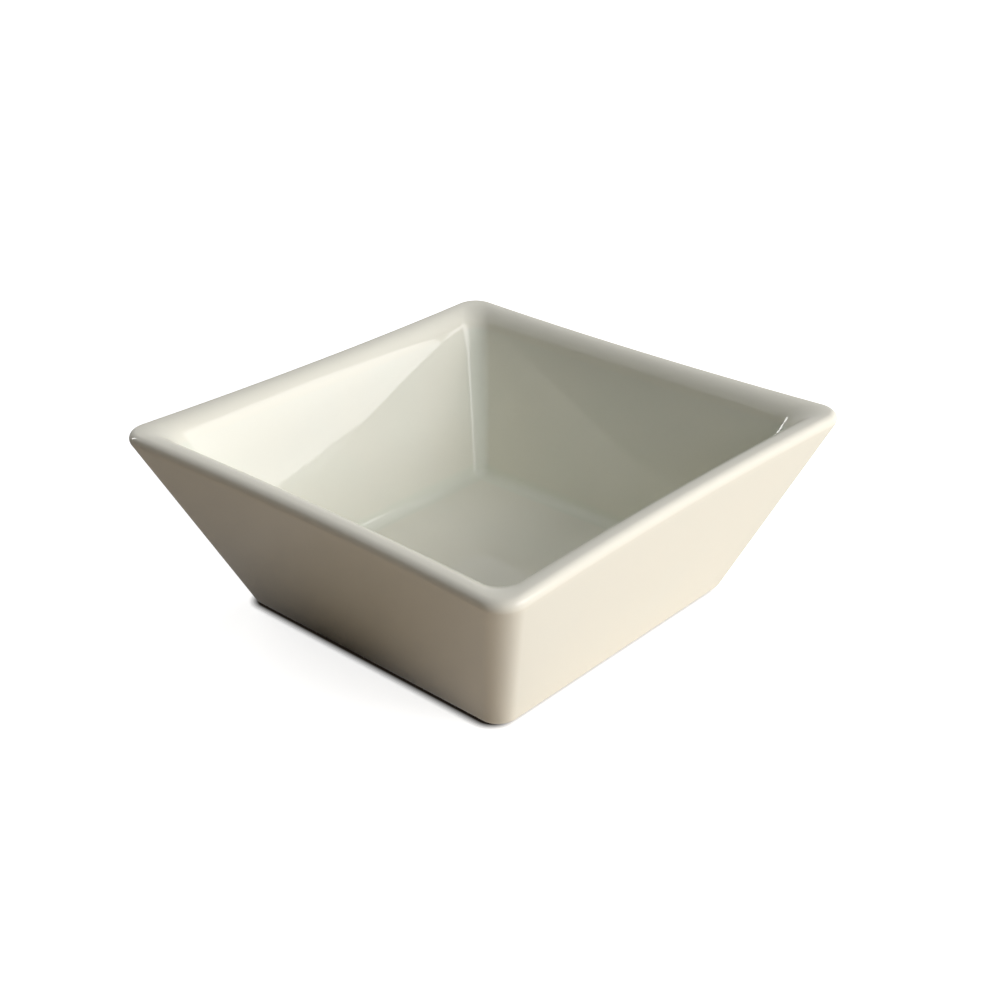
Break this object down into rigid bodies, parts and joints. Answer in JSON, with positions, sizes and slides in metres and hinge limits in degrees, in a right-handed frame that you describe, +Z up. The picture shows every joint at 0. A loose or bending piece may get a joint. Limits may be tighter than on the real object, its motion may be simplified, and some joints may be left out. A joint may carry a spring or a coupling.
{
  "type": "square serving dish",
  "caption": "Small square dish of white glazed ceramic with leaning walls, a thick rounded rim, a flat-floored well and a low bare foot ring, for serving or baking.",
  "frame": {"origin": "on the table under the middle of the dish, in the plane of the foot ring's standing face", "axes": "+Z up out of the well, +X and +Y square to the walls"},
  "size_m": [0.08, 0.08, 0.031],
  "materials": {
    "fired_body": "bare fired clay, dry and fine grained, seen only at the foot ring",
    "white_glaze": "glossy warm white glaze, fused smooth"
  },
  "bodies": {
    "root": {"ceramic_body": "fired_body", "glaze_coat": "white_glaze", "base_glaze": "white_glaze"}
  },
  "joints": []
}
